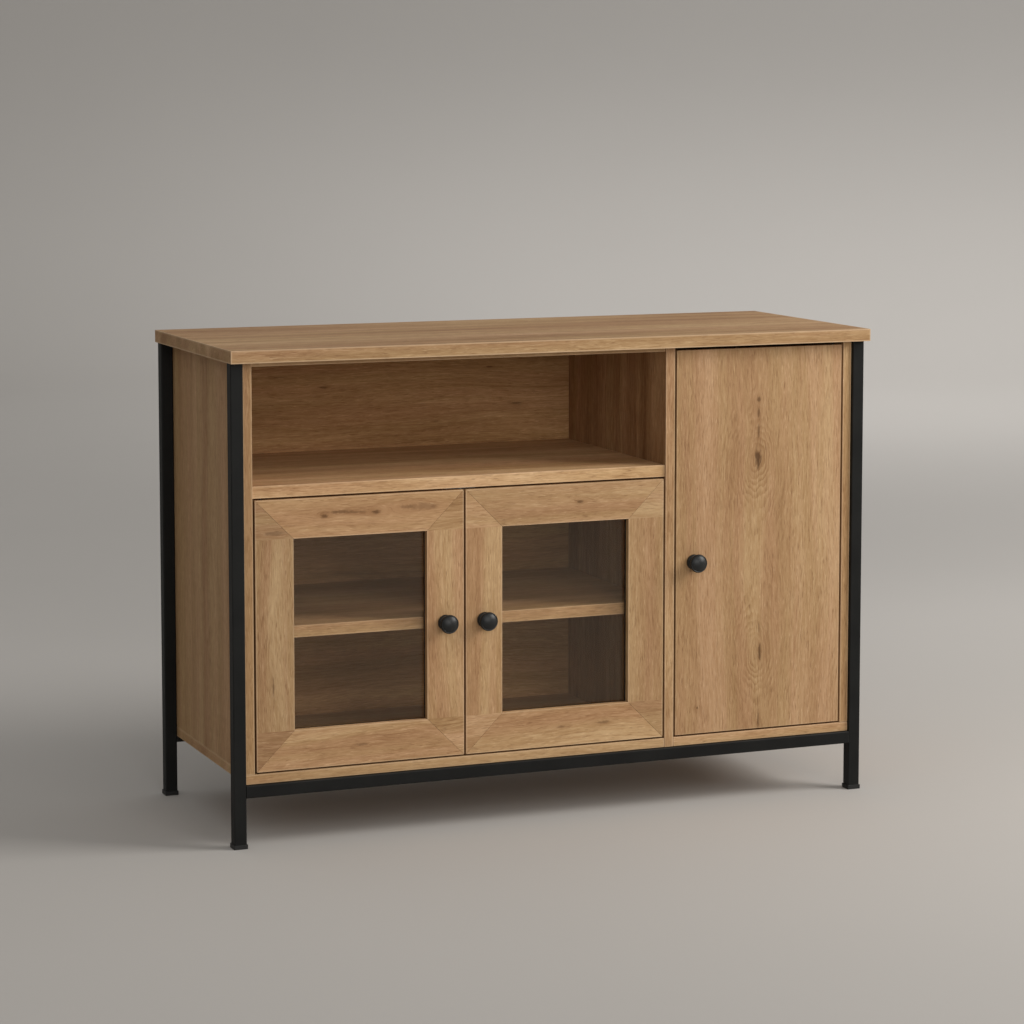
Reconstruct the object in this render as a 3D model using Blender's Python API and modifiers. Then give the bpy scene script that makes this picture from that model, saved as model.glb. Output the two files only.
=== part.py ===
"""Sideboard buffet: a wood-board carcass held between four square steel legs.

An open compartment sits over a pair of framed glass doors, beside a tall cupboard with one
plain door. All three doors turn on steel pivot pins, top and bottom.

The frame is metres, +Z up, +X to the viewer's right along the front. The front faces -Y. The
origin is on the floor, in the middle of the footprint.
"""
import math

import bmesh
import bpy
from mathutils import Matrix, Vector

# ---------------------------------------------------------------- driving sizes
WIDTH = 1.100
HEIGHT = 0.776
TOP_DEPTH = 0.426
TOP_THICK = 0.020
TOP_SIDE_OVERHANG = 0.0035
TOP_FRONT_OVERHANG = 0.015
TOP_BACK_OVERHANG = 0.003

FIT = 0.0003            # space left between two pieces that touch
OVERSHOOT = 0.002       # how far a cutter runs past the face it opens

LEG = 0.020             # square tube, outside
TUBE_WALL = 0.0015
TUBE_ROUND = 0.0018
FOOT_FLANGE = 0.0012    # how far a foot cap stands out past its leg
FOOT_HEIGHT = 0.007
FOOT_PLUG = 0.018
RAIL_BOTTOM = 0.079
RAIL_HEIGHT = 0.020
REAR_RAIL_HEIGHT = 0.010

SIDE_THICK = 0.015
DIVIDER_THICK = 0.016
BOTTOM_THICK = 0.015
BACK_THICK = 0.003
CARCASS_SETBACK = 0.006   # carcass front behind the legs' front faces
BACK_SETBACK = 0.004      # carcass back ahead of the legs' back faces
DIVIDER_LEFT_X = 0.1879

SHELF_THICK = 0.019
COMPARTMENT_SHELF_TOP = 0.564
COMPARTMENT_SHELF_SETBACK = 0.003
CABINET_SHELF_TOP = 0.3385
LOOSE_SHELF_FRONT_GAP = 0.010   # behind the closed doors
LOOSE_SHELF_SIDE_GAP = 0.001
CUPBOARD_SHELF_THICK = 0.016
CUPBOARD_SHELF_TOP = 0.435
SHELF_PIN_RADIUS = 0.0025
SHELF_PIN_IN_BOARD = 0.008
SHELF_PIN_OUT = 0.009
SHELF_PIN_ROWS = (("front", -0.120), ("rear", 0.150))   # and their places in Y
TOP_RAIL_THICK = 0.007
TOP_RAIL_DEPTH = 0.050
TOP_RAIL_SETBACK = 0.002

DOOR_THICK = 0.018
SIDE_GAP = 0.0035         # upright gaps beside and between doors
SILL_GAP = 0.003          # level gaps over and under doors
TALL_DOOR_TOP_GAP = 0.0063
FRAME_WIDTH = 0.062
REBATE_WIDTH = 0.008
LIP_THICK = 0.010         # wood in front of the glass
GLASS_THICK = 0.004
GASKET_WIDTH = 0.007      # the one-piece frame that holds the glass in from behind

PIVOT_INSET = 0.012       # axis in from the door's hinged edge
PIVOT_DEPTH = 0.009       # axis behind the door's front face
PIN_RADIUS = 0.002
PIN_IN_DOOR = 0.014
PIN_IN_BOARD = 0.0075
PIN_HOLE_RADIUS = 0.0023
PIN_SOCKET_RADIUS = 0.00209   # a pin turns in its socket with a slight running clearance
PIN_SOCKET_DEPTH = 0.009

KNOB_PROJECTION = 0.026
KNOB_INSET = 0.0315       # knob axis in from the door's free edge
GLASS_KNOB_HEIGHT = 0.332
TALL_KNOB_HEIGHT = 0.4025
# Radius and distance in front of the door, from the cap's crown back to the rose.
KNOB_PROFILE = (
    (0.0000, 0.0260), (0.0053, 0.0257), (0.0101, 0.0244), (0.0134, 0.0221),
    (0.0152, 0.0186), (0.0148, 0.0154), (0.0124, 0.0128), (0.0108, 0.0102),
    (0.0104, 0.0072), (0.0113, 0.0042), (0.0126, 0.0022), (0.0126, 0.0003),
    (0.0000, 0.0003),
)
KNOB_SCREW_HOLE = 0.0024
KNOB_SCREW_DEPTH = 0.012
KNOB_SCREW_RADIUS = 0.0020
KNOB_SCREW_HEAD = 0.0042
KNOB_SCREW_HEAD_THICK = 0.0020

PIN_SIDES = 16
KNOB_SIDES = 24

# ---------------------------------------------------------------- derived places
KNOB_PAST_TOP = KNOB_PROJECTION - TOP_FRONT_OVERHANG - CARCASS_SETBACK
TOP_BACK_Y = (TOP_DEPTH + KNOB_PAST_TOP) / 2
TOP_FRONT_Y = TOP_BACK_Y - TOP_DEPTH
TOP_UNDER_Z = HEIGHT - TOP_THICK
LEG_OUT_X = WIDTH / 2 - TOP_SIDE_OVERHANG
LEG_IN_X = LEG_OUT_X - LEG
LEG_FRONT_Y = TOP_FRONT_Y + TOP_FRONT_OVERHANG
LEG_BACK_Y = TOP_BACK_Y - TOP_BACK_OVERHANG
FRONT_Y = LEG_FRONT_Y + CARCASS_SETBACK
BACK_Y = LEG_BACK_Y - BACK_SETBACK
RAIL_TOP = RAIL_BOTTOM + RAIL_HEIGHT
BOTTOM_UNDER_Z = RAIL_TOP + FIT
BOTTOM_Z = BOTTOM_UNDER_Z + BOTTOM_THICK
SIDE_OUT_X = LEG_IN_X - FIT
SIDE_IN_X = SIDE_OUT_X - SIDE_THICK
DIVIDER_RIGHT_X = DIVIDER_LEFT_X + DIVIDER_THICK
SHELF_UNDER_Z = COMPARTMENT_SHELF_TOP - SHELF_THICK
DOOR_BACK_Y = FRONT_Y + DOOR_THICK
DOOR_BOTTOM_Z = BOTTOM_Z + SILL_GAP
GLASS_DOOR_TOP_Z = SHELF_UNDER_Z - SILL_GAP
TALL_DOOR_TOP_Z = TOP_UNDER_Z - TALL_DOOR_TOP_GAP
PIVOT_Y = FRONT_Y + PIVOT_DEPTH
LEFT_ROOM = DIVIDER_LEFT_X + SIDE_IN_X
GLASS_DOOR_WIDTH = (LEFT_ROOM - 3 * SIDE_GAP) / 2
LOOSE_SHELF_FRONT_Y = DOOR_BACK_Y + LOOSE_SHELF_FRONT_GAP

PALETTE = {
    "oak": ((0.42, 0.26, 0.14, 1.0), 0.55, 0.0),
    "oak_dark": ((0.30, 0.18, 0.10, 1.0), 0.60, 0.0),
    "black_steel": ((0.020, 0.021, 0.022, 1.0), 0.45, 0.3),
    "black_plastic": ((0.012, 0.012, 0.012, 1.0), 0.60, 0.0),
    "glass": ((0.55, 0.55, 0.52, 0.35), 0.05, 0.0),
    "zinc": ((0.62, 0.62, 0.60, 1.0), 0.35, 0.9),
    "white_plastic": ((0.75, 0.74, 0.70, 1.0), 0.50, 0.0),
}

# ---------------------------------------------------------------- scene and materials


def clear_scene():
    for obj in list(bpy.data.objects):
        bpy.data.objects.remove(obj, do_unlink=True)


def new_collection(name):
    collection = bpy.data.collections.new(name)
    bpy.context.scene.collection.children.link(collection)
    return collection


def finish_material(name, kind):
    colour, roughness, metallic = PALETTE[kind]
    material = bpy.data.materials.new(f"{name}_{kind}")
    material.use_nodes = True
    shader = material.node_tree.nodes["Principled BSDF"]
    shader.inputs["Base Color"].default_value = colour
    shader.inputs["Roughness"].default_value = roughness
    shader.inputs["Metallic"].default_value = metallic
    shader.inputs["Alpha"].default_value = colour[3]
    return material


def add_part(name, mesh, kind, location=(0, 0, 0), parent=None):
    """One named sub-part. The location is a place in the room, whatever the parent is."""
    part = bpy.data.objects.new(name, mesh)
    PARTS.objects.link(part)
    part.data.materials.append(finish_material(name, kind))
    part.location = Vector(location)
    if parent:
        part.parent = parent
        part.location = Vector(location) - parent.location
    return part


def add_cutter(name, mesh):
    cutter = bpy.data.objects.new(name, mesh)
    CUTTERS.objects.link(cutter)
    cutter.hide_render = True
    cutter.display_type = "WIRE"
    return cutter


def cut(part, cutter):
    modifier = part.modifiers.new("cut", "BOOLEAN")
    modifier.operation = "DIFFERENCE"
    modifier.object = cutter


# ---------------------------------------------------------------- meshes


def box_mesh(name, size, centre=(0, 0, 0)):
    bm = bmesh.new()
    bmesh.ops.create_cube(bm, size=1)
    bmesh.ops.scale(bm, vec=size, verts=bm.verts)
    bmesh.ops.translate(bm, vec=centre, verts=bm.verts)
    mesh = bpy.data.meshes.new(name)
    bm.to_mesh(mesh)
    bm.free()
    return mesh


def middle(low, high):
    return [(a + b) / 2 for a, b in zip(low, high)]


def board(name, low, high, kind, parent=None):
    """A square-edged board between two corners."""
    size = [b - a for a, b in zip(low, high)]
    return add_part(name, box_mesh(name, size), kind, middle(low, high), parent)


def box_cutter(name, low, high):
    size = [b - a for a, b in zip(low, high)]
    return add_cutter(name, box_mesh(name, size, middle(low, high)))


def turned_mesh(name, profile, sides):
    """A profile of (radius, height) points turned about Z, outer side from top to bottom."""
    bm = bmesh.new()
    verts = [bm.verts.new((radius, 0, height)) for radius, height in profile]
    for first, second in zip(verts, verts[1:]):
        bm.edges.new((first, second))
    outline = bpy.data.meshes.new(name + "_outline")
    bm.to_mesh(outline)
    bm.free()
    helper = bpy.data.objects.new(name + "_outline", outline)
    CUTTERS.objects.link(helper)
    screw = helper.modifiers.new("turn", "SCREW")
    screw.steps = sides
    screw.render_steps = sides
    screw.use_merge_vertices = True
    screw.merge_threshold = 0.00001
    graph = bpy.context.evaluated_depsgraph_get()
    mesh = bpy.data.meshes.new_from_object(helper.evaluated_get(graph))
    mesh.name = name
    bpy.data.objects.remove(helper, do_unlink=True)
    return mesh


def rod_mesh(name, radius, low, high, sides):
    """A plain round rod about Z."""
    bm = bmesh.new()
    bmesh.ops.create_cone(bm, cap_ends=True, segments=sides, radius1=radius, radius2=radius,
                          depth=high - low, matrix=Matrix.Translation((0, 0, (low + high) / 2)))
    mesh = bpy.data.meshes.new(name)
    bm.to_mesh(mesh)
    bm.free()
    return mesh


def screw_mesh(name, length):
    """A headed screw: its head stands on z = 0 and its shank runs down."""
    profile = (
        (0, KNOB_SCREW_HEAD_THICK), (KNOB_SCREW_HEAD, KNOB_SCREW_HEAD_THICK),
        (KNOB_SCREW_HEAD, 0), (KNOB_SCREW_RADIUS, 0), (KNOB_SCREW_RADIUS, -length), (0, -length),
    )
    return turned_mesh(name, profile, PIN_SIDES)


def copies_mesh(name, mesh, matrices):
    """The same mesh set down once for each matrix, as separate solids of one mesh."""
    bm = bmesh.new()
    for matrix in matrices:
        start = len(bm.verts)
        bm.from_mesh(mesh)
        bm.verts.ensure_lookup_table()
        bmesh.ops.transform(bm, matrix=matrix, verts=bm.verts[start:])
    joined = bpy.data.meshes.new(name)
    bm.to_mesh(joined)
    bm.free()
    return joined


def pointing(place, direction):
    """A matrix that sets a mesh down at a place with its +Z towards a direction."""
    turn = Vector((0, 0, 1)).rotation_difference(Vector(direction)).to_matrix().to_4x4()
    return Matrix.Translation(place) @ turn


def drill_at(part, radius, low, high, matrices, sides):
    """Round holes through a part: one rod cutter, from low to high along each matrix's Z."""
    name = f"{part.name}_holes_{len(part.modifiers)}"
    rod = rod_mesh(name, radius, low, high, sides)
    cut(part, add_cutter(name, copies_mesh(name, rod, matrices)))


def tube(name, low, high, axis):
    """A square steel tube open at both ends, its long edges rounded. axis is 0 for X, 2 for Z."""
    size = [b - a for a, b in zip(low, high)]
    mesh = box_mesh(name, size)
    bm = bmesh.new()
    bm.from_mesh(mesh)
    long_edges = [edge for edge in bm.edges
                  if abs(edge.verts[0].co[axis] - edge.verts[1].co[axis]) > size[axis] / 2]
    bmesh.ops.bevel(bm, geom=long_edges, offset=TUBE_ROUND, segments=3, profile=0.5, affect="EDGES")
    bm.to_mesh(mesh)
    bm.free()
    part = add_part(name, mesh, "black_steel", middle(low, high))
    inner_low = [value + TUBE_WALL for value in low]
    inner_high = [value - TUBE_WALL for value in high]
    inner_low[axis] = low[axis] - OVERSHOOT
    inner_high[axis] = high[axis] + OVERSHOOT
    cut(part, box_cutter(name + "_inside", inner_low, inner_high))
    return part


def mitred_mesh(name, length, width, thick):
    """A frame member along X. Its outer edge is at z = 0 and its ends slope in at 45 degrees."""
    mesh = box_mesh(name, (length, thick, width), (0, 0, width / 2))
    mitre_gap = FIT / 2 * math.sqrt(2)
    for vertex in mesh.vertices:
        trim = vertex.co.z + mitre_gap
        vertex.co.x -= math.copysign(trim, vertex.co.x)
    return mesh


# ---------------------------------------------------------------- steel frame


def add_legs():
    """Four tubes from the floor caps up to the top, and the plastic caps in their ends."""
    for row, y in (("front", LEG_FRONT_Y), ("rear", LEG_BACK_Y - LEG)):
        for side, x in (("left", -LEG_OUT_X), ("right", LEG_IN_X)):
            low = (x, y, FOOT_HEIGHT + FIT)
            high = (x + LEG, y + LEG, TOP_UNDER_Z - FIT)
            tube(f"{row}_{side}_leg", low, high, 2)
            add_foot(f"{row}_{side}_foot_cap", x + LEG / 2, y + LEG / 2)


def add_foot(name, x, y):
    """A cap with a flange under the tube and a plug that grips inside it."""
    half = LEG / 2 + FOOT_FLANGE
    foot = board(name, (x - half, y - half, 0), (x + half, y + half, FOOT_HEIGHT), "black_plastic")
    plug = LEG / 2 - TUBE_WALL - FIT
    plug_box = box_mesh(name + "_plug", (2 * plug, 2 * plug, FOOT_PLUG), (x, y, FOOT_PLUG / 2 + FIT))
    union = foot.modifiers.new("plug", "BOOLEAN")
    union.operation = "UNION"
    union.object = add_cutter(name + "_plug", plug_box)


def add_rails():
    """The front and rear rails welded between the legs, under the carcass."""
    for name, y, height in (
            ("front_rail", LEG_FRONT_Y, RAIL_HEIGHT),
            ("rear_rail", LEG_BACK_Y - LEG, REAR_RAIL_HEIGHT)):
        low = (-LEG_IN_X + FIT, y, RAIL_TOP - height)
        high = (LEG_IN_X - FIT, y + LEG, RAIL_TOP)
        tube(name, low, high, 0)


# ---------------------------------------------------------------- carcass


def shelf_pin_places():
    """Each shelf peg: its name, where it enters a board and its heading into the room."""
    cabinet_under = CABINET_SHELF_TOP - SHELF_THICK
    cupboard_under = CUPBOARD_SHELF_TOP - CUPBOARD_SHELF_THICK
    seats = (
        ("cabinet_left", -SIDE_IN_X, 1, cabinet_under),
        ("cabinet_right", DIVIDER_LEFT_X, -1, cabinet_under),
        ("cupboard_left", DIVIDER_RIGHT_X, 1, cupboard_under),
        ("cupboard_right", SIDE_IN_X, -1, cupboard_under),
    )
    return [(f"{label}_{row}_shelf_peg", (x, y, under - SHELF_PIN_RADIUS - FIT), (inward, 0, 0))
            for label, x, inward, under in seats for row, y in SHELF_PIN_ROWS]


def add_shelf_pins():
    for name, place, inward in shelf_pin_places():
        peg = rod_mesh(name, SHELF_PIN_RADIUS, -SHELF_PIN_IN_BOARD, SHELF_PIN_OUT, PIN_SIDES)
        peg.transform(pointing((0, 0, 0), inward))
        add_part(name, peg, "zinc", place)


def shelf_pin_holes(part, low_x, high_x):
    """Blind holes for the pegs that enter this board."""
    places = [pointing(place, inward) for _, place, inward in shelf_pin_places()
              if low_x - FIT < place[0] < high_x + FIT]
    drill_at(part, SHELF_PIN_RADIUS + FIT, -SHELF_PIN_IN_BOARD - FIT, OVERSHOOT, places, PIN_SIDES)


def add_uprights():
    """The side panels, which stand on the bottom boards, and the divider, which passes them."""
    over_bottom = BOTTOM_Z + FIT
    for name, low_x, high_x, low_z in (
            ("left_side_panel", -SIDE_OUT_X, -SIDE_IN_X, over_bottom),
            ("right_side_panel", SIDE_IN_X, SIDE_OUT_X, over_bottom),
            ("divider_panel", DIVIDER_LEFT_X, DIVIDER_RIGHT_X, BOTTOM_UNDER_Z)):
        panel = board(name, (low_x, FRONT_Y, low_z), (high_x, BACK_Y, TOP_UNDER_Z - FIT), "oak")
        shelf_pin_holes(panel, low_x, high_x)


def add_level_boards():
    """The top, the two bottom boards, the compartment's fixed floor and its top rail."""
    top = board("top_panel", (-WIDTH / 2, TOP_FRONT_Y, TOP_UNDER_Z),
                (WIDTH / 2, TOP_BACK_Y, HEIGHT), "oak")
    pin_sockets(top, ("tall_door",), TOP_UNDER_Z, -1)

    left = board("left_bottom_panel", (-SIDE_OUT_X, FRONT_Y, BOTTOM_UNDER_Z),
                 (DIVIDER_LEFT_X - FIT, BACK_Y, BOTTOM_Z), "oak")
    pin_sockets(left, ("left_door", "right_door"), BOTTOM_Z, 1)

    right = board("right_bottom_panel", (DIVIDER_RIGHT_X + FIT, FRONT_Y, BOTTOM_UNDER_Z),
                  (SIDE_OUT_X, BACK_Y, BOTTOM_Z), "oak")
    pin_sockets(right, ("tall_door",), BOTTOM_Z, 1)

    shelf = board("compartment_shelf",
                  (-SIDE_IN_X + FIT, FRONT_Y + COMPARTMENT_SHELF_SETBACK, SHELF_UNDER_Z),
                  (DIVIDER_LEFT_X - FIT, BACK_Y, COMPARTMENT_SHELF_TOP), "oak")
    pin_sockets(shelf, ("left_door", "right_door"), SHELF_UNDER_Z, -1)

    front = FRONT_Y + TOP_RAIL_SETBACK
    board("compartment_top_rail",
          (-SIDE_IN_X + FIT, front, TOP_UNDER_Z - FIT - TOP_RAIL_THICK),
          (DIVIDER_LEFT_X - FIT, front + TOP_RAIL_DEPTH, TOP_UNDER_Z - FIT), "oak")


def add_back_panels():
    """Thin panels behind the carcass, which meet on the divider's back edge."""
    divider_x = (DIVIDER_LEFT_X + DIVIDER_RIGHT_X) / 2
    for name, low_x, high_x in (("left_back_panel", -SIDE_OUT_X, divider_x - FIT / 2),
                                ("right_back_panel", divider_x + FIT / 2, SIDE_OUT_X)):
        board(name, (low_x, BACK_Y + FIT, BOTTOM_UNDER_Z),
              (high_x, BACK_Y + FIT + BACK_THICK, TOP_UNDER_Z - FIT), "oak_dark")


def add_loose_shelves():
    gap = LOOSE_SHELF_SIDE_GAP
    for name, low_x, high_x, top, thick in (
            ("cabinet_shelf", -SIDE_IN_X, DIVIDER_LEFT_X, CABINET_SHELF_TOP, SHELF_THICK),
            ("cupboard_shelf", DIVIDER_RIGHT_X, SIDE_IN_X, CUPBOARD_SHELF_TOP,
             CUPBOARD_SHELF_THICK)):
        board(name, (low_x + gap, LOOSE_SHELF_FRONT_Y, top - thick),
              (high_x - gap, BACK_Y - gap, top), "oak")


# ---------------------------------------------------------------- doors

# Each door: name, hinged edge x, direction from that edge to the free edge, width, top height.
DOORS = (
    ("left_door", -SIDE_IN_X + SIDE_GAP, 1, GLASS_DOOR_WIDTH, GLASS_DOOR_TOP_Z),
    ("right_door", DIVIDER_LEFT_X - SIDE_GAP, -1, GLASS_DOOR_WIDTH, GLASS_DOOR_TOP_Z),
    ("tall_door", SIDE_IN_X - SIDE_GAP, -1,
     SIDE_IN_X - DIVIDER_RIGHT_X - 2 * SIDE_GAP, TALL_DOOR_TOP_Z),
)

STRIKE_WIDTH = 0.016
STRIKE_HEIGHT = 0.009
STRIKE_THICK = 0.0010
STRIKE_FROM_EDGE = 0.006
STRIKE_FROM_TOP = 0.0035
CATCH_DEPTH = 0.022
CATCH_HEIGHT = 0.013
CATCH_PAIR_WIDTH = 0.052
CATCH_SINGLE_WIDTH = 0.012
CATCH_SINGLE_TOP = 0.620
CATCH_SINGLE_HEIGHT = 0.040


def pivot_x(hinged_edge, toward_free):
    return hinged_edge + toward_free * PIVOT_INSET


def pin_sockets(part, doors, face_z, up):
    """Blind sockets in a board for the pins of the doors that turn on it."""
    places = [pointing((pivot_x(edge, toward_free), PIVOT_Y, face_z), (0, 0, up))
              for name, edge, toward_free, *_ in DOORS if name in doors]
    drill_at(part, PIN_SOCKET_RADIUS, -PIN_SOCKET_DEPTH, OVERSHOOT, places, PIN_SIDES)


def add_pins(door, axis, top, gap_over):
    """The blackened steel pins set in a door's lower and upper edges."""
    x, y = axis.location.x, axis.location.y
    lower = rod_mesh("lower_pin", PIN_RADIUS, -SILL_GAP - PIN_IN_BOARD, PIN_IN_DOOR, PIN_SIDES)
    add_part(door + "_lower_pin", lower, "black_steel", (x, y, DOOR_BOTTOM_Z), axis)
    upper = rod_mesh("upper_pin", PIN_RADIUS, -PIN_IN_DOOR, gap_over + PIN_IN_BOARD, PIN_SIDES)
    add_part(door + "_upper_pin", upper, "black_steel", (x, y, top), axis)


def pin_holes(part, axis, top):
    places = [Matrix.Translation((axis.location.x, axis.location.y, z)) for z in (DOOR_BOTTOM_Z, top)]
    depth = PIN_IN_DOOR + FIT
    drill_at(part, PIN_HOLE_RADIUS, -depth, depth, places, PIN_SIDES)


def add_knob(door, x, z, back_y, axis):
    """A turned knob on the door's face and the screw that holds it from behind."""
    knob_mesh = turned_mesh(door + "_knob", KNOB_PROFILE, KNOB_SIDES)
    knob_mesh.transform(Matrix.Rotation(math.pi / 2, 4, "X"))
    knob = add_part(door + "_knob", knob_mesh, "black_steel", (x, FRONT_Y, z), axis)
    face = [pointing((x, FRONT_Y, z), (0, -1, 0))]
    drill_at(knob, KNOB_SCREW_HOLE, -OVERSHOOT, KNOB_SCREW_DEPTH + FIT, face, PIN_SIDES)
    seat = pointing((x, back_y + FIT, z), (0, 1, 0))
    length = back_y + FIT - FRONT_Y + KNOB_SCREW_DEPTH
    screw = screw_mesh(door + "_knob_screw", length)
    screw.transform(Matrix.Translation((-x, -back_y, -z)) @ seat)
    add_part(door + "_knob_screw", screw, "zinc", (x, back_y, z), axis)


def knob_hole(part, x, z):
    drill_at(part, KNOB_SCREW_HOLE, -DOOR_THICK - OVERSHOOT, OVERSHOOT,
             [pointing((x, FRONT_Y, z), (0, -1, 0))], PIN_SIDES)


def add_strike(door, edge_x, toward_hinge, z, axis, size):
    """The thin steel plate on a door's back that its magnetic catch holds."""
    width, height = size
    near = edge_x + toward_hinge * STRIKE_FROM_EDGE
    low_x, high_x = sorted((near, near + toward_hinge * width))
    board(door + "_strike_plate", (low_x, DOOR_BACK_Y + FIT, z - height),
          (high_x, DOOR_BACK_Y + FIT + STRIKE_THICK, z), "zinc", axis)


def add_glass_door(door, edge, toward_free, width, top, axis):
    """Four mitred members, a pane in their rebate and a gasket frame behind the pane."""
    height = top - DOOR_BOTTOM_Z
    free = edge + toward_free * width
    centre_x = (edge + free) / 2
    centre_z = (DOOR_BOTTOM_Z + top) / 2
    middle_y = FRONT_Y + DOOR_THICK / 2

    rebate_x = width / 2 - FRAME_WIDTH + REBATE_WIDTH
    rebate_z = height / 2 - FRAME_WIDTH + REBATE_WIDTH
    rebate = box_cutter(door + "_rebate",
                        (centre_x - rebate_x, FRONT_Y + LIP_THICK, centre_z - rebate_z),
                        (centre_x + rebate_x, DOOR_BACK_Y + OVERSHOOT, centre_z + rebate_z))

    knob_x = free - toward_free * KNOB_INSET
    members = (
        ("bottom_rail", width, (centre_x, middle_y, DOOR_BOTTOM_Z), 0),
        ("top_rail", width, (centre_x, middle_y, top), math.pi),
        ("hinge_stile", height, (edge, middle_y, centre_z), toward_free * math.pi / 2),
        ("knob_stile", height, (free, middle_y, centre_z), -toward_free * math.pi / 2),
    )
    for label, length, place, turn in members:
        mesh = mitred_mesh(f"{door}_{label}", length, FRAME_WIDTH, DOOR_THICK)
        mesh.transform(Matrix.Rotation(turn, 4, "Y"))
        member = add_part(f"{door}_{label}", mesh, "oak", place, axis)
        cut(member, rebate)
        if label != "knob_stile":
            pin_holes(member, axis, top)
        else:
            knob_hole(member, knob_x, GLASS_KNOB_HEIGHT)

    pane_x = rebate_x - FIT
    pane_z = rebate_z - FIT
    pane_y = FRONT_Y + LIP_THICK + FIT
    board(door + "_glass_pane", (centre_x - pane_x, pane_y, centre_z - pane_z),
          (centre_x + pane_x, pane_y + GLASS_THICK, centre_z + pane_z), "glass", axis)
    add_gasket(door, (centre_x, centre_z), (pane_x, pane_z), pane_y + GLASS_THICK + FIT, axis)
    add_knob(door, knob_x, GLASS_KNOB_HEIGHT, DOOR_BACK_Y, axis)


def add_gasket(door, centre, half, front_y, axis):
    """The plastic frame pressed into the rebate behind the pane."""
    centre_x, centre_z = centre
    half_x, half_z = half
    name = door + "_glass_gasket"
    gasket = board(name, (centre_x - half_x, front_y, centre_z - half_z),
                   (centre_x + half_x, DOOR_BACK_Y - FIT, centre_z + half_z), "black_plastic", axis)
    cut(gasket, box_cutter(
        name + "_opening",
        (centre_x - half_x + GASKET_WIDTH, front_y - OVERSHOOT, centre_z - half_z + GASKET_WIDTH),
        (centre_x + half_x - GASKET_WIDTH, DOOR_BACK_Y + OVERSHOOT,
         centre_z + half_z - GASKET_WIDTH)))


def add_tall_door(door, edge, toward_free, width, top, axis):
    """One plain board."""
    free = edge + toward_free * width
    low_x, high_x = sorted((edge, free))
    slab = board(door + "_panel", (low_x, FRONT_Y, DOOR_BOTTOM_Z), (high_x, DOOR_BACK_Y, top),
                 "oak", axis)
    pin_holes(slab, axis, top)
    knob_x = free - toward_free * KNOB_INSET
    knob_hole(slab, knob_x, TALL_KNOB_HEIGHT)
    add_knob(door, knob_x, TALL_KNOB_HEIGHT, DOOR_BACK_Y, axis)


def add_doors():
    for door, edge, toward_free, width, top in DOORS:
        axis = bpy.data.objects.new(door + "_axis", None)
        PARTS.objects.link(axis)
        axis.location = (pivot_x(edge, toward_free), PIVOT_Y, DOOR_BOTTOM_Z)
        free = edge + toward_free * width
        if door == "tall_door":
            add_tall_door(door, edge, toward_free, width, top, axis)
            add_pins(door, axis, top, TALL_DOOR_TOP_GAP)
            strike_top = CATCH_SINGLE_TOP - (CATCH_SINGLE_HEIGHT - STRIKE_WIDTH) / 2
            add_strike(door, free, -toward_free, strike_top, axis, (STRIKE_HEIGHT, STRIKE_WIDTH))
        else:
            add_glass_door(door, edge, toward_free, width, top, axis)
            add_pins(door, axis, top, SILL_GAP)
            add_strike(door, free, -toward_free, top - STRIKE_FROM_TOP, axis,
                       (STRIKE_WIDTH, STRIKE_HEIGHT))


def add_catches():
    """Magnetic catches: a double one under the compartment shelf, a single one on the divider."""
    front_y = DOOR_BACK_Y + 2 * FIT + STRIKE_THICK
    back_y = front_y + CATCH_DEPTH
    meeting_x = DOORS[0][1] + GLASS_DOOR_WIDTH + SIDE_GAP / 2
    pair_top = SHELF_UNDER_Z - FIT
    board("glass_door_catch", (meeting_x - CATCH_PAIR_WIDTH / 2, front_y, pair_top - CATCH_HEIGHT),
          (meeting_x + CATCH_PAIR_WIDTH / 2, back_y, pair_top), "white_plastic")
    near_x = DIVIDER_RIGHT_X + FIT
    board("tall_door_catch", (near_x, front_y, CATCH_SINGLE_TOP - CATCH_SINGLE_HEIGHT),
          (near_x + CATCH_SINGLE_WIDTH, back_y, CATCH_SINGLE_TOP), "white_plastic")


clear_scene()
PARTS = new_collection("sideboard_buffet")
CUTTERS = new_collection("cutters")
add_legs()
add_rails()
add_uprights()
add_level_boards()
add_back_panels()
add_loose_shelves()
add_shelf_pins()
add_doors()
add_catches()
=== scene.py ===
"""Looks of the sideboard buffet: oak-foil boards, black steel frame, glass doors, studio and camera."""

import math
import random

import bmesh
import bpy
from mathutils import Matrix, Vector


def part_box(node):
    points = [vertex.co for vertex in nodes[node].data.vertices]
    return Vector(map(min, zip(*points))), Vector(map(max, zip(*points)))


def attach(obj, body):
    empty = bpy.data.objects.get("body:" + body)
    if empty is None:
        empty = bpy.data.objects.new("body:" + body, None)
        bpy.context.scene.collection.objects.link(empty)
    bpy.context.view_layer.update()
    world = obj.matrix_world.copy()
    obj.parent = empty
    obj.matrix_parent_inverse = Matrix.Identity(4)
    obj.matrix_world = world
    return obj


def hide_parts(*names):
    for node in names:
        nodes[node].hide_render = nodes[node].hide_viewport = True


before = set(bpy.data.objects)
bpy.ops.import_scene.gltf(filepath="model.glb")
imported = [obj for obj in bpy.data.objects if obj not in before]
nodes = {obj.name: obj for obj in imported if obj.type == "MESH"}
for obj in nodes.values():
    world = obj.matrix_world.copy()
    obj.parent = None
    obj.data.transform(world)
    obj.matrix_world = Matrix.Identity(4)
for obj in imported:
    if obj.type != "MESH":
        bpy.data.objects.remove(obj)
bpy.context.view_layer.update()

# ---------------------------------------------------------------- sizes and places, in metres
ARRIS = 0.0008            # rounding on a board's edges
TOP_ARRIS = 0.0016
FRAME_ARRIS = 0.00006     # on the mitred door frames
STEEL_ARRIS = 0.0004
PLASTIC_ARRIS = 0.0005
GASKET_ARRIS = 0.0003
PLATE_ARRIS = 0.0002
PANE_ARRIS = 0.0003
ARRIS_STEPS = 2
WELD_DISTANCE = 0.00001
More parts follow.
